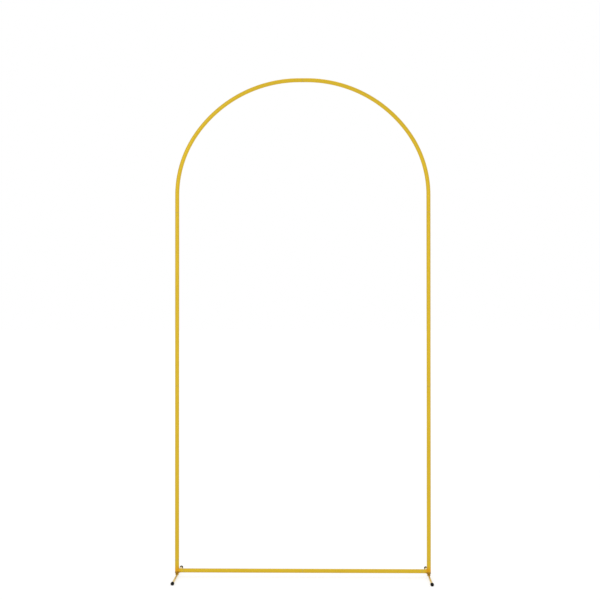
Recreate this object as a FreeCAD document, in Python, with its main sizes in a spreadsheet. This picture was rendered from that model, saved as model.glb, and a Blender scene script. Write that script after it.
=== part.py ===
# Wedding arch: a knock-down frame of thin round steel tubes that plug into each other.
# Two posts rise from two corner tees to a flattened round top, and a crossbar joins the tees.
# Each tee sits on a bar that runs front to back and ends in rubber caps.
# Millimetres, +X to the right, +Y to the rear, +Z up.
# The origin is on the floor, under the middle of the crossbar.

import FreeCAD, Part
import os

import Sketcher
from FreeCAD import Vector

PARTS_FOLDER = "parts"

# Two points closer than this, in millimetres, are the same.
SAME_PLACE = 1e-4

# The driving dimensions. Everything else follows from these.
DIMENSIONS = {
    # overall form
    "arch_width": 1000.0,
    # the tighter arc that leaves each post, and how many degrees it turns
    "haunch_radius": 420.0,
    "haunch_sweep": 35.0,
    # the straight end that each half of the top keeps at the crown joint
    "crown_straight_length": 14.0,
    # the tube of the frame
    "tube_diameter": 16.0,
    "tube_wall": 1.0,
    # lengths of the straight tubes and of the straight foot of each curved tube
    "lower_post_length": 680.0,
    "upper_post_length": 680.0,
    "curve_tail_length": 67.5,
    # the reduced ends that plug into the next tube
    "neck_length": 45.0,
    "neck_clearance": 0.1,
    "collar_length": 2.0,
    "edge_chamfer": 0.4,
    # the corner tees, measured from where the post axis meets the crossbar axis
    "tee_rise": 42.0,
    "tee_reach": 27.0,
    # the drawn-in lower end of each tee, measured upwards from its bottom edge
    "tee_end_diameter": 11.0,
    "tee_end_length": 2.5,
    "tee_taper_length": 4.0,
    # the foot bars
    "foot_drop": 19.0,
    "foot_bar_diameter": 9.5,
    "foot_bar_wall": 1.0,
    "foot_length": 322.0,
    "saddle_height": 3.0,
    "saddle_clearance": 0.1,
    # the rubber caps
    "cap_diameter": 13.5,
    "cap_length": 12.0,
    "cap_end_thickness": 4.0,
    "cap_flat_depth": 0.55,
    "cap_rounding": 4.0,
    "cap_fit_clearance": 0.05,
    "cap_seat_clearance": 0.2,
}

# Sizes that follow from the driving ones, as expressions on the sheet's names.
OUTER = "Sheet.tube_diameter / 2"
INNER = "(Sheet.tube_diameter / 2 - Sheet.tube_wall)"
NECK_OUTER = f"({INNER} - Sheet.neck_clearance)"
NECK_INNER = f"({NECK_OUTER} - Sheet.tube_wall)"
CHAMFER = "Sheet.edge_chamfer"

POST_OFFSET = f"(Sheet.arch_width / 2 - {OUTER})"
FOOT_AXIS = "(Sheet.cap_diameter / 2 - Sheet.cap_flat_depth)"
CROSSBAR_AXIS = f"({FOOT_AXIS} + Sheet.foot_drop)"
LOWER_POST_START = f"({CROSSBAR_AXIS} + Sheet.tee_rise)"
UPPER_POST_START = f"({LOWER_POST_START} + Sheet.lower_post_length)"
CURVE_START = f"({UPPER_POST_START} + Sheet.upper_post_length)"
CROSSBAR_HALF = f"({POST_OFFSET} - Sheet.tee_reach)"
FOOT_BAR_LENGTH = "(Sheet.foot_length - 2 * Sheet.cap_end_thickness - 2 * Sheet.cap_seat_clearance)"

# The wide arc over the crown meets its haunch and its straight end smoothly.
HAUNCH_OFFSET = f"({POST_OFFSET} - Sheet.haunch_radius)"
CROWN_SWEEP = "(90 - Sheet.haunch_sweep)"
CROWN_SHIFT = f"({HAUNCH_OFFSET} - Sheet.crown_straight_length)"
CROWN_RADIUS = f"(Sheet.haunch_radius + {CROWN_SHIFT} / cos(Sheet.haunch_sweep * 1 deg))"
CROWN_DEPTH = f"({CROWN_SHIFT} * tan(Sheet.haunch_sweep * 1 deg))"
CROWN_RISE = f"({CROWN_RADIUS} - {CROWN_DEPTH})"

doc = FreeCAD.newDocument("wedding_arch")
sheet = doc.addObject("Spreadsheet::Sheet", "Sheet")
for row, (alias, size) in enumerate(DIMENSIONS.items(), start=1):
    sheet.set(f"A{row}", alias)
    sheet.set(f"B{row}", str(size))
    sheet.setAlias(f"B{row}", alias)
doc.recompute()


def number(text):
    """The present value of an expression on the sheet."""
    result = sheet.evalExpression(text)
    return float(getattr(result, "Value", result))


def origin_feature(body, role):
    return next(item for item in body.Origin.OriginFeatures if item.Role == role)


def new_sketch(body, name, plane):
    sketch = body.newObject("Sketcher::SketchObject", name)
    sketch.AttachmentSupport = [(origin_feature(body, plane), "")]
    sketch.MapMode = "FlatFace"
    return sketch


def bind(sketch, constraint, text):
    """Adds one dimension to a sketch and binds it to the sheet."""
    index = sketch.addConstraint(constraint)
    sketch.setExpression(f"Constraints[{index}]", text)


def bind_coordinate(sketch, kind, geometry, point, text):
    """Holds one coordinate of a point; a leading minus puts it on the far side of the origin."""
    if text == "0":
        axis = -2 if kind == "DistanceX" else -1
        sketch.addConstraint(Sketcher.Constraint("PointOnObject", geometry, point, axis))
    elif text.startswith("-"):
        size = number(text[1:])
        bind(sketch, Sketcher.Constraint(kind, geometry, point, -1, 1, size), text[1:])
    else:
        size = number(text)
        bind(sketch, Sketcher.Constraint(kind, -1, 1, geometry, point, size), text)


def outline_sketch(body, name, plane, corners):
    """A closed outline of straight lines through corners given as pairs of expressions."""
    sketch = new_sketch(body, name, plane)
    points = [Vector(number(across), number(up), 0) for across, up in corners]
    count = len(points)
    for index in range(count):
        line = Part.LineSegment(points[index], points[(index + 1) % count])
        sketch.addGeometry(line, False)
    for index in range(count):
        following = (index + 1) % count
        sketch.addConstraint(Sketcher.Constraint("Coincident", index, 2, following, 1))
    for index, (across, up) in enumerate(corners):
        bind_coordinate(sketch, "DistanceX", index, 1, across)
        bind_coordinate(sketch, "DistanceY", index, 1, up)
    return sketch


def circle_sketch(body, name, plane, across, up, radii):
    """Circles on one centre; two radii make a ring."""
    sketch = new_sketch(body, name, plane)
    centre = Vector(number(across), number(up), 0)
    for index, radius in enumerate(radii):
        circle = Part.Circle(centre, Vector(0, 0, 1), number(radius))
        sketch.addGeometry(circle, False)
        bind_coordinate(sketch, "DistanceX", index, 3, across)
        bind_coordinate(sketch, "DistanceY", index, 3, up)
        bind(sketch, Sketcher.Constraint("Radius", index, number(radius)), radius)
    return sketch


def turn(body, name, sketch, axis="V_Axis", kind="PartDesign::Revolution"):
    """A full turn of an outline about one of its sketch's axes."""
    feature = body.newObject(kind, name)
    feature.Profile = sketch
    feature.ReferenceAxis = (sketch, [axis])
    feature.Angle = 360
    doc.recompute()
    return feature


def cut_through(body, name, sketch):
    """A pocket both ways from the sketch, which has to remove something."""
    before = body.Shape.Volume
    pocket = body.newObject("PartDesign::Pocket", name)
    pocket.Profile = sketch
    pocket.Midplane = True
    pocket.Type = "ThroughAll"
    doc.recompute()
    if body.Shape.Volume >= before:
        raise RuntimeError(f"{name} of {body.Label} cuts nothing")
    return pocket


def new_body(name):
    body = doc.addObject("PartDesign::Body", name)
    body.Label = name
    return body


def place(body, across="0", back="0", up="0", rotation=None):
    """Puts a body in the arch, with its place bound to the sheet."""
    body.Placement = FreeCAD.Placement(Vector(0, 0, 0), rotation or FreeCAD.Rotation())
    for axis, text in (("x", across), ("y", back), ("z", up)):
        if text != "0":
            body.setExpression(f"Placement.Base.{axis}", text)


def plain_end(length):
    """The end of a tube that takes a neck: square, with the outer edge broken."""
    return [
        (OUTER, f"{length} - {CHAMFER}"),
        (f"{OUTER} - {CHAMFER}", length),
        (INNER, length),
    ]


def necked_end(length):
    """The end of a tube that is reduced to plug into the next one."""
    tip = f"{length} + Sheet.neck_length"
    return [
        (OUTER, f"{length} - {CHAMFER}"),
        (f"{OUTER} - {CHAMFER}", length),
        (NECK_OUTER, length),
        (NECK_OUTER, f"{tip} - {CHAMFER}"),
        (f"{NECK_OUTER} - {CHAMFER}", tip),
        (NECK_INNER, tip),
        (NECK_INNER, f"{length} - Sheet.collar_length"),
        (INNER, f"{length} - Sheet.collar_length"),
    ]


def straight_tube(name, length, necked):
    """A frame tube that stands on its plain end, with or without a neck at the top."""
    body = new_body(name)
    start = [(INNER, "0"), (f"{OUTER} - {CHAMFER}", "0"), (OUTER, CHAMFER)]
    end = necked_end(length) if necked else plain_end(length)
    turn(body, "tube", outline_sketch(body, "tube_outline", "XZ_Plane", start + end))
    return body


def bound_axis(sketch, kind, offset):
    """A construction line parallel to a sketch axis, at a bound distance from it."""
    along = kind == "Horizontal"
    shift = number(offset)
    reach = number("Sheet.tube_diameter")
    start = Vector(0, shift, 0) if along else Vector(shift, 0, 0)
    end = Vector(reach, shift, 0) if along else Vector(shift, reach, 0)
    line = sketch.addGeometry(Part.LineSegment(start, end), True)
    sketch.addConstraint(Sketcher.Constraint(kind, line))
    bind_coordinate(sketch, "DistanceX", line, 1, "0" if along else offset)
    bind_coordinate(sketch, "DistanceY", line, 1, offset if along else "0")
    size = Sketcher.Constraint("Distance", line, reach)
    bind(sketch, size, "Sheet.tube_diameter")


def haunch_sweep(body, radii):
    """The tighter arc that leaves the post."""
    sketch = circle_sketch(body, "haunch_ring", "XY_Plane", POST_OFFSET, "0", radii)
    bound_axis(sketch, "Vertical", HAUNCH_OFFSET)
    return arc_feature(body, "haunch", sketch, "Sheet.haunch_sweep", True)


def crown_run(body, name, radii, length, outwards=True):
    """A ring pulled straight along the crown, from the middle of the arch."""
    pad = body.newObject("PartDesign::Pad", name)
    pad.Profile = circle_sketch(body, f"{name}_ring", "YZ_Plane", "0", CROWN_RISE, radii)
    pad.Reversed = not outwards
    pad.setExpression("Length", length)
    doc.recompute()
    return pad


def crown_sweep(body, name, radii, sweep, outwards=True):
    """A ring carried along the wide arc, from the end of the straight run."""
    sketch = circle_sketch(body, f"{name}_ring", "YZ_Plane", "0", CROWN_RISE, radii)
    side = "" if outwards else "-"
    sketch.setExpression("AttachmentOffset.Base.z", f"{side}Sheet.crown_straight_length")
    doc.recompute()
    bound_axis(sketch, "Horizontal", f"-{CROWN_DEPTH}")
    return arc_feature(body, name, sketch, sweep, not outwards)


def arc_feature(body, name, sketch, sweep, reverse):
    feature = body.newObject("PartDesign::Revolution", name)
    feature.Profile = sketch
    feature.ReferenceAxis = (sketch, ["Axis0"])
    feature.Reversed = reverse
    feature.setExpression("Angle", sweep)
    doc.recompute()
    return feature


def break_outer_edge(body, name, centre):
    """Chamfers the tube's outer edge on the end that is centred at a point."""
    radius = number(OUTER)
    found = [
        f"Edge{index}"
        for index, edge in enumerate(body.Tip.Shape.Edges, start=1)
        if isinstance(edge.Curve, Part.Circle)
        and abs(edge.Curve.Radius - radius) < SAME_PLACE
        and edge.Curve.Center.distanceToPoint(centre) < SAME_PLACE
    ]
    base = body.Tip
    feature = body.newObject("PartDesign::Chamfer", name)
    feature.Base = (base, found)
    feature.setExpression("Size", CHAMFER)
    doc.recompute()


def curved_tube(name, necked):
    """Half of the round top, from its straight tail at the post to the middle of the crown."""
    body = new_body(name)
    ring = [OUTER, INNER]
    haunch_sweep(body, ring)
    crown_sweep(body, "crown", ring, CROWN_SWEEP)
    crown_run(body, "crown_end", ring, "Sheet.crown_straight_length")
    tail = body.newObject("PartDesign::Pad", "tail")
    tail.Profile = circle_sketch(body, "tail_ring", "XY_Plane", POST_OFFSET, "0", ring)
    tail.Reversed = True
    tail.setExpression("Length", "Sheet.curve_tail_length")
    doc.recompute()
    if necked:
        collar = [f"({OUTER} - Sheet.tube_wall / 2)", NECK_INNER]
        crown_run(body, "collar", collar, "Sheet.collar_length")
        neck = [NECK_OUTER, NECK_INNER]
        crown_run(body, "neck_start", neck, "Sheet.crown_straight_length", outwards=False)
        beyond = arc_angle("(Sheet.neck_length - Sheet.crown_straight_length)")
        crown_sweep(body, "neck", neck, beyond, outwards=False)
    break_outer_edge(body, "crown_edge", Vector(0, 0, number(CROWN_RISE)))
    foot = Vector(number(POST_OFFSET), 0, -number("Sheet.curve_tail_length"))
    break_outer_edge(body, "tail_edge", foot)
    return body


def arc_angle(length):
    """The angle that a length takes on the crown's arc."""
    return f"({length} / {CROWN_RADIUS} * 180 / pi)"


def corner_tee(name):
    """The welded corner: an upright drawn in over the foot bar, and a stub to the crossbar."""
    body = new_body(name)
    reach = necked_end("Sheet.tee_reach")
    stub = [(INNER, "0"), (OUTER, "0")] + reach
    sideways = [(along, radius) for radius, along in stub]
    turn(body, "stub", outline_sketch(body, "stub_outline", "XZ_Plane", sideways), "H_Axis")

    drop = "Sheet.foot_drop - Sheet.saddle_height + Sheet.saddle_clearance"
    bottom = f"-({drop})"
    taper_end = f"-({drop} - Sheet.tee_end_length)"
    taper_start = f"-({drop} - Sheet.tee_end_length - Sheet.tee_taper_length)"
    end_outer = "(Sheet.tee_end_diameter / 2)"
    end_inner = f"({end_outer} - Sheet.tube_wall)"
    top = necked_end("Sheet.tee_rise")
    upright = [("0", bottom), (end_outer, bottom), (end_outer, taper_end), (OUTER, taper_start)]
    upright += top[:6]
    upright[-1] = ("0", upright[-1][1])
    turn(body, "upright", outline_sketch(body, "upright_outline", "XZ_Plane", upright))

    neck_tip = top[5][1]
    bore = [("0", bottom), (end_inner, bottom), (end_inner, taper_end), (INNER, taper_start)]
    bore += [(INNER, top[7][1]), (NECK_INNER, top[6][1]), (NECK_INNER, neck_tip), ("0", neck_tip)]
    outline = outline_sketch(body, "bore_outline", "XZ_Plane", bore)
    turn(body, "bore", outline, kind="PartDesign::Groove")

    seat = "(Sheet.foot_bar_diameter / 2 + Sheet.saddle_clearance)"
    saddle = circle_sketch(body, "saddle_circle", "XZ_Plane", "0", "-Sheet.foot_drop", [seat])
    cut_through(body, "saddle", saddle)
    return body


def foot_bar(name):
    """The bar under a corner, which runs front to back and stops inside its caps."""
    body = new_body(name)
    radius = "Sheet.foot_bar_diameter / 2"
    bore = f"({radius} - Sheet.foot_bar_wall)"
    outline = [(bore, "0"), (radius, "0"), (radius, FOOT_BAR_LENGTH), (bore, FOOT_BAR_LENGTH)]
    turn(body, "bar", outline_sketch(body, "bar_outline", "XZ_Plane", outline))
    return body


def foot_cap(name):
    """A rubber cap with a rounded tip, a blind bore for the bar and a flat to stand on."""
    body = new_body(name)
    radius = "Sheet.cap_diameter / 2"
    bore = "(Sheet.foot_bar_diameter / 2 + Sheet.cap_fit_clearance)"
    length = "Sheet.cap_length"
    end = "Sheet.cap_end_thickness"
    outline = [("0", "0"), (radius, "0"), (radius, length), (bore, length), (bore, end), ("0", end)]
    tube = turn(body, "cap", outline_sketch(body, "cap_outline", "XZ_Plane", outline))
    tip = [
        f"Edge{index}"
        for index, edge in enumerate(tube.Shape.Edges, start=1)
        if isinstance(edge.Curve, Part.Circle)
        and edge.Curve.Center.Length < SAME_PLACE
    ]
    rounding = body.newObject("PartDesign::Fillet", "tip_rounding")
    rounding.Base = (tube, tip)
    rounding.setExpression("Radius", "Sheet.cap_rounding")
    doc.recompute()
    level = f"({radius} - Sheet.cap_flat_depth)"
    below = "Sheet.cap_diameter"
    flat = [
        (f"-({radius})", level),
        (radius, level),
        (radius, below),
        (f"-({radius})", below),
    ]
    cut_through(body, "flat", outline_sketch(body, "flat_outline", "XY_Plane", flat))
    return body


HALF_TURN = FreeCAD.Rotation(Vector(0, 0, 1), 180)
ALONG_X = FreeCAD.Rotation(Vector(0, 1, 0), 90)
ALONG_Y = FreeCAD.Rotation(Vector(1, 0, 0), -90)
STRAIGHT = FreeCAD.Rotation()

pieces = []

for side, sign, facing in (("left", "-", STRAIGHT), ("right", "", HALF_TURN)):
    across = f"{sign}{POST_OFFSET}"

    tee = corner_tee(f"corner_tee_{side}")
    place(tee, across=across, up=CROSSBAR_AXIS, rotation=facing)

    lower = straight_tube(f"post_lower_{side}", "Sheet.lower_post_length", necked=True)
    place(lower, across=across, up=LOWER_POST_START)

    upper = straight_tube(f"post_upper_{side}", "Sheet.upper_post_length", necked=True)
    place(upper, across=across, up=UPPER_POST_START)

    curve = curved_tube(f"arch_tube_{side}", necked=side == "left")
    spring_line = f"{CURVE_START} + Sheet.curve_tail_length"
    place(curve, up=spring_line, rotation=HALF_TURN if side == "left" else STRAIGHT)

    bar = foot_bar(f"foot_bar_{side}")
    place(bar, across=across, back=f"-({FOOT_BAR_LENGTH} / 2)", up=FOOT_AXIS, rotation=ALONG_Y)

    front = foot_cap(f"foot_cap_front_{side}")
    place(front, across=across, back="-(Sheet.foot_length / 2)", up=FOOT_AXIS, rotation=ALONG_Y)

    rear = foot_cap(f"foot_cap_rear_{side}")
    turned = HALF_TURN.multiply(ALONG_Y)
    place(rear, across=across, back="Sheet.foot_length / 2", up=FOOT_AXIS, rotation=turned)

    pieces += [tee, lower, upper, curve, bar, front, rear]

bar_left = straight_tube("crossbar_left", CROSSBAR_HALF, necked=True)
place(bar_left, across=f"-{CROSSBAR_HALF}", up=CROSSBAR_AXIS, rotation=ALONG_X)
bar_right = straight_tube("crossbar_right", CROSSBAR_HALF, necked=False)
place(bar_right, up=CROSSBAR_AXIS, rotation=ALONG_X)
pieces += [bar_left, bar_right]

doc.recompute()

for item in doc.Objects:
    if "Invalid" in item.State or "Error" in item.State:
        raise RuntimeError(f"{item.Label} did not compute: {item.State}")
for piece in pieces:
    if piece.Shape.isNull() or not piece.Shape.isValid():
        raise RuntimeError(f"{piece.Label} has no valid shape")
    if len(piece.Shape.Solids) != 1:
        raise RuntimeError(f"{piece.Label} is not one solid")

os.makedirs(PARTS_FOLDER, exist_ok=True)
for piece in pieces:
    piece.Shape.exportStep(os.path.join(PARTS_FOLDER, f"{piece.Label}.step"))
    box = piece.Shape.optimalBoundingBox()
    print(piece.Label, round(piece.Shape.Volume, 1), "mm3, top", round(box.ZMax, 2))
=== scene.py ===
# %% [markdown]
# # A wedding arch in gold-painted tube
# The real object is a knock-down frame: thin round steel tubes that plug into each other,
# sprayed gold, with black rubber feet. The tubes come in already built at their real size.
# This lesson gives them their finish and adds what a maker adds last: weld beads at the
# corners, the small screws that lock the joints, and moulded rubber caps on the feet.

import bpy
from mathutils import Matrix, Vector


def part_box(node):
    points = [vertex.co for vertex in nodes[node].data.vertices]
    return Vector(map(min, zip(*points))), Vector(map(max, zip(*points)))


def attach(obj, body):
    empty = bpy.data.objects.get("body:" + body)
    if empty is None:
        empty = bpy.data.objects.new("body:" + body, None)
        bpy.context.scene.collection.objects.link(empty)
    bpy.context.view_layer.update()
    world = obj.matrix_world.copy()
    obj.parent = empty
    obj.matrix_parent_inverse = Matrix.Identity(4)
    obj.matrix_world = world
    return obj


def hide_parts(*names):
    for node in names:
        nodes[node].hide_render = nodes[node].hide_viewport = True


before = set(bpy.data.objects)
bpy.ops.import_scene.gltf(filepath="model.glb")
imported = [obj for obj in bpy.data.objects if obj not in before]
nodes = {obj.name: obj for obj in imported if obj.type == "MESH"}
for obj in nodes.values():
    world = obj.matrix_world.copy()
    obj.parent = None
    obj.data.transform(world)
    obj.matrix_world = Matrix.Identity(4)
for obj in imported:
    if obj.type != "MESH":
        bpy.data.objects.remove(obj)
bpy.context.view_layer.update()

import math

import bmesh
import bpy
from mathutils import Vector

print("tubes and feet in the frame:", len(nodes))

# %% [markdown]
# ## Read the sizes off the tubes
# A weld bead or a screw only looks right if it sits on its tube to a fraction of a
# millimetre. Typing the sizes in again would work until somebody changes the frame, so
# every place is worked out from the boxes of the tubes themselves.

# %% Measure the tubes
MM = 0.001
QUARTER_TURN = math.pi / 2

post_low, post_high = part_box("post_lower_right")
tube_radius = (post_high.x - post_low.x) / 2
post_offset = (post_high.x + post_low.x) / 2

bar_low, bar_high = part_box("crossbar_right")
crossbar_height = (bar_high.z + bar_low.z) / 2

tee_corners = [corner.co for corner in nodes["corner_tee_right"].data.vertices]
tee_bottom = min(corner.z for corner in tee_corners)
tee_end = [corner for corner in tee_corners if corner.z < tee_bottom + MM]
tee_end_radius = max(corner.x for corner in tee_end) - post_offset

foot_low, foot_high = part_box("foot_bar_right")
foot_radius = (foot_high.x - foot_low.x) / 2
foot_height = (foot_high.z + foot_low.z) / 2

print("tube radius", round(tube_radius / MM, 2), "mm, posts at", round(post_offset / MM, 1), "mm")
print("tee end radius", round(tee_end_radius / MM, 2), "mm")
print("foot bar radius", round(foot_radius / MM, 2), "mm")

# %% Measure the seams
STANDING_ON_SEAMS = ("post_lower_left", "post_upper_left", "arch_tube_left")

post_seams = [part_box(name)[0].z for name in STANDING_ON_SEAMS]
crossbar_seams = [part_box("crossbar_left")[0].x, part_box("crossbar_right")[0].x, bar_high.x]

print("seams up the posts", [round(height / MM, 1) for height in post_seams], "mm")
print("seams along the crossbar", [round(along / MM, 1) for along in crossbar_seams], "mm")

# %% [markdown]
# ## Stand the camera where the picture was taken
# The posts stay parallel in the picture and the feet splay outwards, so the camera stood
# level with the middle of the arch, a little to its right, with a short telephoto lens.
# The lens is set by how much the feet splay, and the small turns put the arch in its
# place in the square picture.

# %% Camera
CAMERA_DISTANCE = 5.0
CAMERA_ACROSS = 0.083
CAMERA_ABOVE_CROSSBAR = 1.019
CAMERA_LENS_MM = 76.66
CAMERA_UP_DEG = 0.45
CAMERA_LEFT_DEG = 1.069
CAMERA_ROLL_DEG = 0.015
CAMERA_SEES_TO = 200

bpy.ops.object.select_all(action="DESELECT")
bpy.ops.object.camera_add(
    location=(CAMERA_ACROSS, -CAMERA_DISTANCE, crossbar_height + CAMERA_ABOVE_CROSSBAR),
    rotation=(
        math.radians(90 + CAMERA_UP_DEG),
        math.radians(CAMERA_ROLL_DEG),
        math.radians(CAMERA_LEFT_DEG),
    ),
)
camera = bpy.context.object
camera.name = "camera"
camera.data.lens = CAMERA_LENS_MM
camera.data.clip_end = CAMERA_SEES_TO
bpy.context.scene.camera = camera
print("camera at", [round(value, 3) for value in camera.location])

# %% [markdown]
# ## Write shader maths as Python
# A finish is a small calculation: noise, times a strength, plus a base. Wiring Math nodes
# by hand hides that, so a node's output is wrapped in a class that answers to +, -, * and
# /, and each sign quietly adds its Math node. Every other node comes from one method, which
# sets the node up first and then feeds its sockets with numbers or with other outputs.

# %% A node's output that can be used in arithmetic
class Flow:
    """A node's output that can be used in arithmetic."""

    def __init__(self, finish, socket):
        self.finish = finish
        self.socket = socket

    def math(self, operation, first, second=0.0):
        return self.finish.node("ShaderNodeMath", {"operation": operation}, {0: first, 1: second})

    def __add__(self, other):
        return self.math("ADD", self, other)

    def __radd__(self, other):
        return self.math("ADD", other, self)

    def __sub__(self, other):
        return self.math("SUBTRACT", self, other)

    def __rsub__(self, other):
        return self.math("SUBTRACT", other, self)

    def __mul__(self, other):
        return self.math("MULTIPLY", self, other)

    def __rmul__(self, other):
        return self.math("MULTIPLY", other, self)

    def __truediv__(self, other):
        return self.math("DIVIDE", self, other)

    def __rtruediv__(self, other):
        return self.math("DIVIDE", other, self)

    def __lt__(self, other):
        return self.math("LESS_THAN", self, other)

    def __abs__(self):
        return self.math("ABSOLUTE", self)


# %% A material under construction
# A Mix node has one set of sockets for each kind of value; these are the ones for colours.
MIX_FACTOR = 0
MIX_FIRST = 6
MIX_SECOND = 7
MIX_RESULT = 2


class Finish:
    """A material under construction, with its surface shader ready to be fed."""

    def __init__(self, name):
        self.material = bpy.data.materials.new(name)
        self.material.use_nodes = True
        self.tree = self.material.node_tree
        self.surface = self.tree.nodes["Principled BSDF"]

    def feed(self, socket, value):
        if isinstance(value, Flow):
            self.tree.links.new(value.socket, socket)
        else:
            socket.default_value = value

    def node(self, kind, settings, sockets, output=0):
        """Adds a node, sets it up, feeds its sockets and hands back one of its outputs."""
        made = self.tree.nodes.new(kind)
        for name, value in settings.items():
            if name == "stops":
                self.set_stops(made.color_ramp.elements, value)
            else:
                setattr(made, name, value)
        for name, value in sockets.items():
            self.feed(made.inputs[name], value)
        return Flow(self, made.outputs[output])

    def set_stops(self, elements, stops):
        while len(elements) < len(stops):
            elements.new(1.0)
        for element, (position, shade) in zip(elements, stops):
            element.position = position
            element.color = (shade, shade, shade, 1.0)

    def place(self):
        """Where a point lies on the object, in metres."""
        return self.node("ShaderNodeTexCoord", {}, {}, "Object")

    def along(self, axis):
        """One coordinate of that place: X, Y or Z."""
        return self.node("ShaderNodeSeparateXYZ", {}, {0: self.place()}, axis)

    def clamp(self, flow, low=0.0, high=1.0):
        return self.node("ShaderNodeClamp", {}, {"Value": flow, "Min": low, "Max": high})

    def noise(self, grain, detail=2.0):
        """Soft noise from 0 to 1 whose blotches are about as wide as the grain, in metres."""
        sockets = {"Vector": self.place(), "Scale": 1 / grain, "Detail": detail}
        return self.node("ShaderNodeTexNoise", {}, sockets, "Fac")

    def ramp(self, flow, stops):
        return self.node("ShaderNodeValToRGB", {"stops": stops}, {"Fac": flow}, "Color")

    def blend(self, factor, first, second):
        """A colour between two others."""
        sockets = {MIX_FACTOR: factor, MIX_FIRST: first, MIX_SECOND: second}
        return self.node("ShaderNodeMix", {"data_type": "RGBA"}, sockets, MIX_RESULT)

    def bump(self, height, depth, strength):
        sockets = {"Height": height, "Distance": depth, "Strength": strength}
        return self.node("ShaderNodeBump", {}, sockets, "Normal")

    def set(self, **sockets):
        """Feeds the surface shader; a socket's spaces are written as underscores."""
        for name, value in sockets.items():
            self.feed(self.surface.inputs[name.replace("_", " ")], value)


# %% [markdown]
# ## Gold paint
# The tubes are sprayed with a metallic gold lacquer. Three things tell the eye that it is
# paint and not solid brass: a clear top layer that mirrors softly, a faint orange-peel
# ripple from the spray gun, and a fine sparkle of flakes. Where a tube pushes into the
# next one the lacquer is rubbed thin along the edge and a hairline of dirt stays in the
# groove. The masks are distances to the seams, and noise breaks up the rubbed one, so no
# texture is painted.

# %% Gold colours
GOLD = (0.655, 0.450, 0.026, 1.0)
GOLD_DEEP = (0.570, 0.365, 0.016, 1.0)
GOLD_RUBBED = (0.640, 0.560, 0.380, 1.0)
# Painted shade: a bronze that darkens the gold under the corners and in the screw recesses.
GOLD_PAINTED_SHADE = (0.300, 0.155, 0.012, 1.0)
# Painted light: an orange that stands for the gold tubes reflecting onto each other at the
# corners.
GOLD_PAINTED_BOUNCE = (0.690, 0.345, 0.008, 1.0)
SEAM_DIRT = (0.060, 0.040, 0.015, 1.0)
EDGE_TINT = (0.55, 0.42, 0.12, 1.0)
FOOT_EDGE_TINT = (1.0, 0.95, 0.80, 1.0)

# %% How the gold is laid
CLOUD_GRAIN = 90 * MM
CLOUD_TINT = 0.5
CLOUD_ROUGH = 0.08
FLAKE_GRAIN = 0.35 * MM
FLAKE_TINT = 0.1
SPRAYED_ROUGH = 0.26
PEEL_GRAIN = 2.4 * MM
PEEL_DEPTH = 0.03 * MM
PEEL_STRENGTH = 0.35
COAT_INDEX = 1.2
FOOT_COAT_INDEX = 1.5

# %% How the seams are worn
DIRT_HALF_WIDTH = 0.15 * MM
DIRT_COVER = 0.8
DIRT_ROUGH = 0.4
RUB_HALF_WIDTH = 2.0 * MM
RUB_GRAIN = 1.6 * MM
RUB_AT_SEAM = 0.55
RUB_BY_CHANCE = 0.6
RUB_STOPS = [(0.62, 0.0), (0.72, 1.0)]
RUB_COVER = 0.5


# %% Gold paint finish
def near(finish, axis, place, reach, fade):
    """1 within a reach of a place along an axis, falling to 0 over the fade beyond it."""
    return finish.clamp((reach + fade - abs(finish.along(axis) - place)) / fade)


def near_any(finish, seams, reach, fade):
    """The same, for the nearest of several places, each an axis letter and a place."""
    mask = 0.0
    for axis, place in seams:
        mask = near(finish, axis, place, reach, fade) + mask
    return mask


def gold_paint(name, seams=(), painted_bounce=None, painted_shade=None, edge=EDGE_TINT, coat_index=COAT_INDEX):
    """The gold, worn at its seams; the next two arguments each build a mask, for painted orange
    bounce light and for painted bronze shade.
    """
    finish = Finish(name)
    cloud = finish.noise(CLOUD_GRAIN)
    flake = finish.noise(FLAKE_GRAIN, detail=0.0)
    tint = finish.blend(cloud * CLOUD_TINT + flake * FLAKE_TINT, GOLD, GOLD_DEEP)
    rough = SPRAYED_ROUGH + cloud * CLOUD_ROUGH
    # Here the painted orange bounce light and the painted bronze shade are blended into the gold.
    if painted_bounce:
        tint = finish.blend(painted_bounce(finish), tint, GOLD_PAINTED_BOUNCE)
    if painted_shade:
        tint = finish.blend(painted_shade(finish), tint, GOLD_PAINTED_SHADE)
    if seams:
        wear = near_any(finish, seams, 0.0, RUB_HALF_WIDTH) * RUB_AT_SEAM
        scuff = wear + finish.noise(RUB_GRAIN) * RUB_BY_CHANCE
        tint = finish.blend(finish.ramp(scuff, RUB_STOPS) * RUB_COVER, tint, GOLD_RUBBED)
        dirt = near_any(finish, seams, DIRT_HALF_WIDTH, DIRT_HALF_WIDTH)
        tint = finish.blend(dirt * DIRT_COVER, tint, SEAM_DIRT)
        rough = rough + dirt * DIRT_ROUGH
    peel = finish.noise(PEEL_GRAIN, detail=1.0)
    finish.set(
        Base_Color=tint,
        Metallic=0.6,
        Roughness=rough,
        Specular_Tint=edge,
        Coat_Weight=0.8,
        Coat_IOR=coat_index,
        Coat_Roughness=0.08,
        Normal=finish.bump(peel, PEEL_DEPTH, PEEL_STRENGTH),
    )
    print("mixed", name, "with", len(finish.tree.nodes), "nodes")
    return finish.material


# %% [markdown]
# The corners are welded before they are sprayed. Where the crossbar meets the upright
# the gold is warmed to orange: painted light, the orange that the gold tubes reflect onto
# each other there. Below it, on the drawn-in end tucked between the crossbar and the foot
# bar, the gold is darkened to bronze as painted shade, and so it is on the foot bar right
# under the corner. Each of these is a mask worked out from the place on the object.

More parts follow.
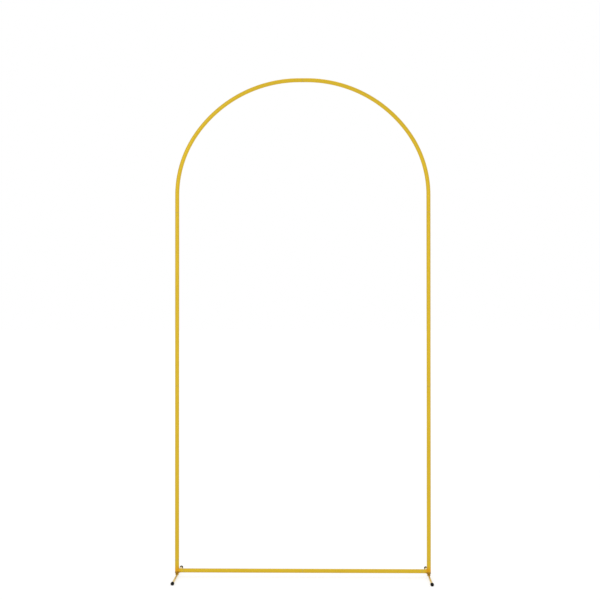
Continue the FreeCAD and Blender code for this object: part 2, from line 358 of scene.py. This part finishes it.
# %% Where the gold takes painted bounce light or painted shade
# How far the painted orange bounce light and the painted bronze shade reach.
BOUNCE_REACH = 6 * MM
BOUNCE_FADE = 18 * MM
STUB_FADE = 12 * MM
AT_STUB = 0.8
SHADE_START = 25.5 * MM
SHADE_FADE = 7 * MM
SHADE_EASES_HEIGHT = 6 * MM
SHADE_EASES_FADE = 10 * MM
SHADE_AT_FOOT = 0.4
SHADE_UNDER_POST = 0.55


def on_upright(finish):
    """1 across the upright, falling to 0 along the first millimetres of the stub."""
    inwards = post_offset - abs(finish.along("X"))
    return finish.clamp((tube_radius - inwards) / STUB_FADE + AT_STUB)


def round_weld(finish):
    """1 where the stub is welded to the upright; the orange of painted bounce light is laid here.
    """
    return on_upright(finish) * near(finish, "Z", crossbar_height, BOUNCE_REACH, BOUNCE_FADE)


def shade_under_corner(finish):
    """Painted shade: 1 on the lower end of the upright, less again where it meets the foot bar.
    """
    height = finish.along("Z")
    low = finish.clamp((SHADE_START - height) / SHADE_FADE)
    above_foot = finish.clamp((height - SHADE_EASES_HEIGHT) / SHADE_EASES_FADE, SHADE_AT_FOOT)
    return on_upright(finish) * low * above_foot


def shade_under_post(finish):
    """Painted shade on the foot bar, strongest where the corner stands on it."""
    return near(finish, "Y", 0.0, tube_radius / 2, 2 * tube_radius) * SHADE_UNDER_POST


# %% Paint the tubes
seams_up = [("Z", height) for height in post_seams]
seams_across = [("X", along) for along in crossbar_seams]

gold_of = {
    "post": gold_paint("gold_post", seams_up),
    "arch_tube": gold_paint("gold_arch_tube", [seams_up[-1], seams_across[1]]),
    "crossbar": gold_paint("gold_crossbar", seams_across),
    # The corner tee takes painted bounce light and painted shade, the foot bar painted shade.
    "corner_tee": gold_paint(
        "gold_corner_tee", [seams_up[0], *seams_across], round_weld, shade_under_corner
    ),
    "foot_bar": gold_paint(
        "gold_foot_bar", (), None, shade_under_post, FOOT_EDGE_TINT, FOOT_COAT_INDEX
    ),
}

for name, node in nodes.items():
    for kind, paint in gold_of.items():
        if name.startswith(kind):
            node.material_slots[0].material = paint
            print(name, "wears", paint.name)

# %% [markdown]
# ## Black rubber
# The caps are moulded in soft black rubber. It is never pure black: the skin has a fine
# pebble from the mould that breaks up the highlights, and the edge near the floor picks
# up pale dust. A height mask with a ragged edge puts the dust where a floor would.

# %% Black rubber finish
RUBBER = (0.004, 0.004, 0.004, 1.0)
RUBBER_WORN = (0.008, 0.008, 0.007, 1.0)
FLOOR_DUST = (0.070, 0.064, 0.055, 1.0)
WORN_GRAIN = 5 * MM
WORN_ROUGH = 0.15
MOULDED_ROUGH = 0.62
SPECK_GRAIN = 0.9 * MM
SPECK_STOPS = [(0.45, 0.0), (0.65, 1.0)]
DUST_TOP = 2.4 * MM
DUST_COVER = 0.6
PEBBLE_GRAIN = 0.45 * MM
PEBBLE_DEPTH = 0.04 * MM
PEBBLE_STRENGTH = 0.5


def black_rubber(name):
    """Moulded rubber, with floor dust on its lowest millimetres."""
    finish = Finish(name)
    cloud = finish.noise(WORN_GRAIN)
    speck = finish.ramp(finish.noise(SPECK_GRAIN), SPECK_STOPS)
    dust = (finish.along("Z") < cloud * DUST_TOP) * speck
    tint = finish.blend(cloud, RUBBER, RUBBER_WORN)
    tint = finish.blend(dust * DUST_COVER, tint, FLOOR_DUST)
    pebble = finish.noise(PEBBLE_GRAIN, detail=1.0)
    finish.set(
        Base_Color=tint,
        Roughness=MOULDED_ROUGH + cloud * WORN_ROUGH,
        Specular_IOR_Level=0.1,
        Normal=finish.bump(pebble, PEBBLE_DEPTH, PEBBLE_STRENGTH),
    )
    print("mixed", name, "with", len(finish.tree.nodes), "nodes")
    return finish.material


rubber = black_rubber("black_rubber")

# %% [markdown]
# ## Small habits for modelling by operators
# An operator works on whatever is selected, so each step first lets go of everything and
# then picks what it needs. In edit mode, faces are picked by where they are. A finished
# piece keeps its place in its mesh, and its object stays on the frame's origin.


# %% Pick up and put down
def let_go():
    """Leaves edit mode and deselects everything."""
    if bpy.context.object and bpy.context.object.mode != "OBJECT":
        bpy.ops.object.mode_set(mode="OBJECT")
    bpy.ops.object.select_all(action="DESELECT")


def hold(*pieces):
    """Selects only these pieces; the last one becomes active."""
    let_go()
    for piece in pieces:
        piece.select_set(True)
        bpy.context.view_layer.objects.active = piece


def edit(piece):
    """Opens a piece in edit mode with nothing in it selected."""
    hold(piece)
    bpy.ops.object.mode_set(mode="EDIT")
    bpy.ops.mesh.select_all(action="DESELECT")


def pick_faces(piece, test):
    """Selects the faces whose middle passes a test."""
    mesh = bmesh.from_edit_mesh(piece.data)
    for face in mesh.faces:
        if test(face.calc_center_median()):
            face.select_set(True)
    mesh.select_flush_mode()
    bmesh.update_edit_mesh(piece.data)


def drop(piece):
    """Deletes a pattern or a cutter that has done its work."""
    hold(piece)
    bpy.ops.object.delete()


# %% Shape, copy and finish a piece
def settle(piece):
    """Moves a piece's place, turn and scale into its mesh."""
    hold(piece)
    bpy.ops.object.transform_apply(location=True, rotation=True, scale=True)


def lathe(name, rings, sides):
    """Turns a closed shape about Z: a circle is pulled from ring to ring, then both ends shut."""
    let_go()
    radius, height = rings[0]
    bpy.ops.mesh.primitive_circle_add(vertices=sides, radius=radius, location=(0, 0, height))
    piece = bpy.context.object
    piece.name = name
    settle(piece)
    edit(piece)
    bpy.ops.mesh.select_all(action="SELECT")
    bpy.ops.mesh.edge_face_add()
    bpy.ops.mesh.select_all(action="SELECT")
    for next_radius, next_height in rings[1:]:
        step = (0, 0, next_height - height)
        bpy.ops.mesh.extrude_region_move(TRANSFORM_OT_translate={"value": step})
        ratio = next_radius / radius
        bpy.ops.transform.resize(value=(ratio, ratio, 1), center_override=(0, 0, next_height))
        radius, height = next_radius, next_height
    bpy.ops.mesh.select_all(action="SELECT")
    bpy.ops.mesh.normals_make_consistent(inside=False)
    let_go()
    return piece


def copy_to(piece, name, place, turn):
    """A copy with its own mesh, turned and moved into place."""
    hold(piece)
    bpy.ops.object.duplicate()
    copy = bpy.context.object
    copy.name = name
    copy.rotation_euler = turn
    copy.location = place
    settle(copy)
    return copy


def apply(piece, modifier):
    hold(piece)
    bpy.ops.object.modifier_apply(modifier=modifier.name)


def finish_piece(piece, material, smooth_degrees):
    """Shades a finished piece, gives it a material unless it has one, hangs it on the frame."""
    hold(piece)
    bpy.ops.object.shade_smooth_by_angle(angle=math.radians(smooth_degrees))
    if material:
        piece.data.materials.append(material)
    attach(piece, "root")
    triangles = sum(len(face.vertices) - 2 for face in piece.data.polygons)
    print(piece.name, triangles, "triangles")


# %% [markdown]
# ## Foot caps
# Each foot bar ends in a push-on rubber cap: a cup with a thick domed end, a soft lip at
# its mouth, grip grooves round its side and the small dimple where the rubber was injected.
# A cap is round about its bar, so it could be spun from a profile; pulling one circle from
# ring to ring gives the same shape and keeps the sizes readable. The flat that it stands
# on is sliced off last, at floor level, when the cap is already in its place.

# %% Sizes of a cap
CAP_SIDES = 64
CAP_SMOOTH_DEG = 35
CAP_END = 4.0 * MM
CAP_ROUNDING = 4.0 * MM
CAP_FIT = 0.05 * MM
LIP = 0.4 * MM
LIP_STEPS = 3
FIRST_GROOVE = 1.2 * MM
GROOVE_DEPTH = 0.35 * MM
GROOVE_WIDTH = 1.0 * MM
GROOVE_SLOPE = GROOVE_WIDTH / 4
GROOVE_PITCH = 1.9 * MM
GROOVE_COUNT = 3
GATE_RADIUS = 1.3 * MM
GATE_FLOOR_RADIUS = 0.8 * GATE_RADIUS
GATE_DEPTH = 0.3 * MM
NUB_FOOT_RADIUS = 0.35 * GATE_RADIUS
NUB_TOP_RADIUS = 0.25 * GATE_RADIUS
NUB_BELOW_END = GATE_DEPTH / 3
ROUNDING_STEPS = 10

cap_low, cap_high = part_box("foot_cap_front_left")
cap_radius = (cap_high.x - cap_low.x) / 2
cap_length = cap_high.y - cap_low.y
print("cap radius", round(cap_radius / MM, 2), "mm, length", round(cap_length / MM, 2), "mm")


# %% The cap's profile, from the bottom of its bore round to the gate
def cap_rings():
    """The cap's profile as radius and distance from its mouth."""
    bore = foot_radius + CAP_FIT
    rings = [(bore, cap_length - CAP_END), (bore, LIP), (bore + LIP, 0)]
    for step in range(LIP_STEPS + 1):
        angle = QUARTER_TURN * step / LIP_STEPS
        rings.append((cap_radius - LIP * (1 - math.sin(angle)), LIP * (1 - math.cos(angle))))
    for index in range(GROOVE_COUNT):
        start = FIRST_GROOVE + index * GROOVE_PITCH
        rings += [
            (cap_radius, start),
            (cap_radius - GROOVE_DEPTH, start + GROOVE_SLOPE),
            (cap_radius - GROOVE_DEPTH, start + GROOVE_WIDTH - GROOVE_SLOPE),
            (cap_radius, start + GROOVE_WIDTH),
        ]
    for step in range(ROUNDING_STEPS + 1):
        angle = QUARTER_TURN * step / ROUNDING_STEPS
        radius = cap_radius - CAP_ROUNDING * (1 - math.cos(angle))
        rings.append((radius, cap_length - CAP_ROUNDING * (1 - math.sin(angle))))
    rings += [
        (GATE_RADIUS, cap_length),
        (GATE_FLOOR_RADIUS, cap_length - GATE_DEPTH),
        (NUB_FOOT_RADIUS, cap_length - GATE_DEPTH),
        (NUB_TOP_RADIUS, cap_length - NUB_BELOW_END),
    ]
    return rings


# %% Put a cap on each end of the foot bars
# Corners closer to the floor than this count as lying on it. The operator's own default is
# a tenth of a millimetre, which would leave the flat ragged on a piece this small.
SLICE_GAP = 0.0001 * MM

cap_pattern = lathe("cap_pattern", cap_rings(), CAP_SIDES)

for side in ("left", "right"):
    for end, turn in (("front", QUARTER_TURN), ("rear", -QUARTER_TURN)):
        node = f"foot_cap_{end}_{side}"
        low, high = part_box(node)
        mouth = high.y if end == "front" else low.y
        place = ((low.x + high.x) / 2, mouth, foot_height)
        cap = copy_to(cap_pattern, f"rubber_cap_{end}_{side}", place, (turn, 0, 0))
        edit(cap)
        bpy.ops.mesh.select_all(action="SELECT")
        bpy.ops.mesh.bisect(
            plane_co=(0, 0, 0),
            plane_no=(0, 0, 1),
            use_fill=True,
            clear_inner=True,
            threshold=SLICE_GAP,
        )
        let_go()
        finish_piece(cap, rubber, CAP_SMOOTH_DEG)
        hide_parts(node)

drop(cap_pattern)

# %% [markdown]
# ## Weld beads
# At each corner a short stub is welded to the upright, and the upright is welded down on
# its foot bar. A weld is laid as a row of overlapping drops of molten steel, so it is
# modelled the same way: small balls along the seam, melted into one skin by a voxel
# remesh and relaxed a little. A swept round bead would be quicker but would lack the
# ripples that say weld.

# %% The tracks that the welds follow
WELD_STEP = 1.3 * MM
TRACK_SAMPLES = 720


def even_places(track):
    """Places along a track, a weld step apart; the track takes a share from 0 to 1."""
    places = [track(0.0)]
    for index in range(1, TRACK_SAMPLES):
        place = track(index / TRACK_SAMPLES)
        if (place - places[-1]).length >= WELD_STEP:
            places.append(place)
    return places


def stub_track(side):
    """Where the stub meets the upright: two tubes of one size cross in a saddle curve."""

    def at(share):
        angle = 2 * math.pi * share
        rise = tube_radius * math.sin(angle)
        across = side * (post_offset - abs(rise))
        return Vector((across, tube_radius * math.cos(angle), crossbar_height + rise))

    return at


def foot_track(side):
    """Round the upright's drawn-in end, over the top of the foot bar at front and rear."""
    half_saddle = math.sqrt(foot_radius ** 2 - (tee_bottom - foot_height) ** 2)

    def at(share):
        angle = 2 * math.pi * share
        across = tee_end_radius * math.sin(angle)
        height = tee_bottom
        if abs(across) < half_saddle:
            height = foot_height + math.sqrt(foot_radius ** 2 - across ** 2)
        return Vector((side * post_offset + across, tee_end_radius * math.cos(angle), height))

    return at


# %% Lay the beads
STUB_WELD_RADIUS = 1.7 * MM
FOOT_WELD_RADIUS = 1.4 * MM
DROP_SUBDIVISIONS = 3
WELD_VOXEL = 0.24 * MM
RELAX_FACTOR = 0.5
RELAX_ROUNDS = 2
BEAD_SMOOTH_DEG = 80


def weld_bead(name, track, radius, material):
    """One bead: drops along a track, melted together."""
    drops = []
    let_go()
    for place in even_places(track):
        bpy.ops.mesh.primitive_ico_sphere_add(
            subdivisions=DROP_SUBDIVISIONS, radius=radius, location=place
        )
        drops.append(bpy.context.object)
    hold(*drops)
    bpy.ops.object.join()
    bead = bpy.context.object
    bead.name = name
    settle(bead)
    melt = bead.modifiers.new("melt", "REMESH")
    melt.mode = "VOXEL"
    melt.voxel_size = WELD_VOXEL
    apply(bead, melt)
    relax = bead.modifiers.new("relax", "SMOOTH")
    relax.factor = RELAX_FACTOR
    relax.iterations = RELAX_ROUNDS
    apply(bead, relax)
    finish_piece(bead, material, BEAD_SMOOTH_DEG)


# The beads take the same painted bounce light and painted shade as the corners.
gold_weld = gold_paint("gold_weld", (), round_weld, shade_under_corner)
gold_foot_weld = gold_paint("gold_foot_weld", (), None, shade_under_corner)

for side_name, side in (("left", -1), ("right", 1)):
    weld_bead(f"weld_stub_{side_name}", stub_track(side), STUB_WELD_RADIUS, gold_weld)
    weld_bead(f"weld_foot_{side_name}", foot_track(side), FOOT_WELD_RADIUS, gold_foot_weld)

# %% [markdown]
# ## Joint screws
# Each plugged joint is locked by one pan-head screw through both tubes, at the back where
# it doesn't show. The head is a shallow dome with a cross recess, a millimetre or so deep.
# The recess is cut by a tapered cross as a boolean, which is how a punch forms it too, and
# one screw is modelled and then copied to every joint.

# %% The punch for the recess
HEAD_HEIGHT = 2.4 * MM
RECESS_REACH = 2.0 * MM
RECESS_WIDTH = 0.75 * MM
RECESS_DEPTH = 1.3 * MM
RECESS_TAPER = 0.45
FACE_SEARCH = 0.1 * MM


def recess_cutter():
    """A cross of two blades that narrow towards the bottom."""
    bottom = HEAD_HEIGHT - RECESS_DEPTH
    blades = []
    for turn in (0, QUARTER_TURN):
        let_go()
        bpy.ops.mesh.primitive_cube_add(size=1)
        blade = bpy.context.object
        blade.scale = (2 * RECESS_REACH, RECESS_WIDTH, 2 * RECESS_DEPTH)
        blade.rotation_euler = (0, 0, turn)
        blade.location = (0, 0, HEAD_HEIGHT)
        settle(blade)
        edit(blade)
        pick_faces(blade, lambda middle: middle.z < bottom + FACE_SEARCH)
        bpy.ops.transform.resize(
            value=(RECESS_TAPER, RECESS_TAPER, 1), center_override=(0, 0, bottom)
        )
        let_go()
        blades.append(blade)
    first, second = blades
    cross = first.modifiers.new("cross", "BOOLEAN")
    cross.operation = "UNION"
    cross.object = second
    apply(first, cross)
    drop(second)
    return first


# %% One screw as the pattern
SCREW_SIDES = 48
HEAD_RADIUS = 3.5 * MM
HEAD_EDGE = 0.15 * MM
RIM_HEIGHT = 0.7 * MM
DOME_STEPS = 9
SHANK_RADIUS = 2.0 * MM
SHANK_LENGTH = 1.4 * MM
# The share of bronze painted shade laid into the screw's cross recess.
RECESS_PAINTED_SHADE = 0.85

gold_screw = gold_paint("gold_screw")
# The recess faces wear painted shade, a fixed share of the bronze.
screw_recess = gold_paint("gold_screw_recess", (), None, lambda finish: RECESS_PAINTED_SHADE)


def screw_pattern():
    """A pan-head screw that stands on Z, with its seat at height 0."""
    rings = [
        (SHANK_RADIUS, -SHANK_LENGTH),
        (SHANK_RADIUS, 0),
        (HEAD_RADIUS - HEAD_EDGE, 0),
        (HEAD_RADIUS, HEAD_EDGE),
        (HEAD_RADIUS, RIM_HEIGHT),
    ]
    dome_height = HEAD_HEIGHT - RIM_HEIGHT
    for step in range(1, DOME_STEPS):
        angle = QUARTER_TURN * step / DOME_STEPS
        rings.append((HEAD_RADIUS * math.cos(angle), RIM_HEIGHT + dome_height * math.sin(angle)))
    screw = lathe("screw_pattern", rings, SCREW_SIDES)
    screw.data.materials.append(gold_screw)
    cutter = recess_cutter()
    cutter.data.materials.append(screw_recess)
    recess = screw.modifiers.new("recess", "BOOLEAN")
    recess.operation = "DIFFERENCE"
    recess.object = cutter
    recess.material_mode = "TRANSFER"
    apply(screw, recess)
    drop(cutter)
    return screw


# %% Drive a screw at the back of every joint
SCREW_PAST_SEAM = 22 * MM
SCREW_TWIST = math.radians(37)
SCREW_SMOOTH_DEG = 30

crown_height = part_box("arch_tube_right")[1].z - tube_radius

screw_places = []
for seam in post_seams:
    for side in (-1, 1):
        screw_places.append((side * post_offset, seam + SCREW_PAST_SEAM))
screw_places += [
    (crossbar_seams[0] + SCREW_PAST_SEAM, crossbar_height),
    (crossbar_seams[1] + SCREW_PAST_SEAM, crossbar_height),
    (crossbar_seams[2] - SCREW_PAST_SEAM, crossbar_height),
    (crossbar_seams[1] + SCREW_PAST_SEAM, crown_height),
]

pattern = screw_pattern()
for index, (across, height) in enumerate(screw_places):
    place = (across, tube_radius, height)
    turn = (-QUARTER_TURN, index * SCREW_TWIST, 0)
    screw = copy_to(pattern, f"joint_screw_{index + 1:02d}", place, turn)
    finish_piece(screw, None, SCREW_SMOOTH_DEG)
drop(pattern)

# %% [markdown]
# ## A white studio
# Such a frame is photographed on a white sweep with large soft lights, so that nothing
# but the gold shows. The sky is an even white, and the floor fades into it with distance:
# near the feet it is partly a matt surface that takes a soft shadow, and further out it
# only glows, as white as the sky, which hides the horizon from every side.

# %% Floor
FLOOR_RADIUS = 60.0
FLOOR_SIDES = 96
FLOOR_FADE_START = 2.0
FLOOR_FADE_END = 5.0
FLOOR_NEAR_GLOW = 0.65
FLOOR_GLOW = 1.08
WHITE = (1, 1, 1, 1)
MATT_WHITE = (0.92, 0.92, 0.92, 1)

bpy.ops.object.select_all(action="DESELECT")
bpy.ops.mesh.primitive_circle_add(
    vertices=FLOOR_SIDES, radius=FLOOR_RADIUS, fill_type="NGON"
)
floor = bpy.context.object
floor.name = "floor"

sweep = Finish("white_sweep")
distance = sweep.node(
    "ShaderNodeVectorMath", {"operation": "LENGTH"}, {0: sweep.place()}, "Value"
)
far = (distance - FLOOR_FADE_START) / (FLOOR_FADE_END - FLOOR_FADE_START)
share = sweep.clamp(far, FLOOR_NEAR_GLOW)
glow = sweep.node("ShaderNodeEmission", {}, {"Color": WHITE, "Strength": FLOOR_GLOW})
sweep.set(Base_Color=MATT_WHITE, Roughness=0.9, Specular_IOR_Level=0.0)
matt = Flow(sweep, sweep.surface.outputs[0])
floor_shader = sweep.node("ShaderNodeMixShader", {}, {0: share, 1: matt, 2: glow})
sweep.feed(sweep.tree.nodes["Material Output"].inputs["Surface"], floor_shader)
floor.data.materials.append(sweep.material)
print("floor of", FLOOR_RADIUS, "m radius")

# %% Sky
world = bpy.data.worlds.new("white_sky")
world.use_nodes = True
sky = world.node_tree.nodes["Background"]
sky.inputs["Color"].default_value = WHITE
sky.inputs["Strength"].default_value = 1.0
bpy.context.scene.world = world
bpy.context.scene.view_settings.view_transform = "Standard"
print("sky", world.name)

# %% Lights
ARCH_MIDDLE = Vector((0, 0, 1.0))


def softbox(name, place, size, power):
    """A large rectangular lamp that faces the middle of the arch."""
    bpy.ops.object.select_all(action="DESELECT")
    bpy.ops.object.light_add(type="AREA", location=place)
    light = bpy.context.object
    light.name = name
    light.data.shape = "RECTANGLE"
    light.data.size, light.data.size_y = size
    light.data.energy = power
    light.rotation_euler = (ARCH_MIDDLE - Vector(place)).to_track_quat("-Z", "Y").to_euler()
    print(name, power, "W")


softbox("key_light", place=(-2.6, -6.0, 3.0), size=(2.4, 3.2), power=26)
softbox("fill_light", place=(3.4, -5.6, 1.4), size=(2.0, 3.0), power=10)
softbox("top_light", place=(0.0, 1.0, 6.5), size=(3.0, 3.0), power=18)
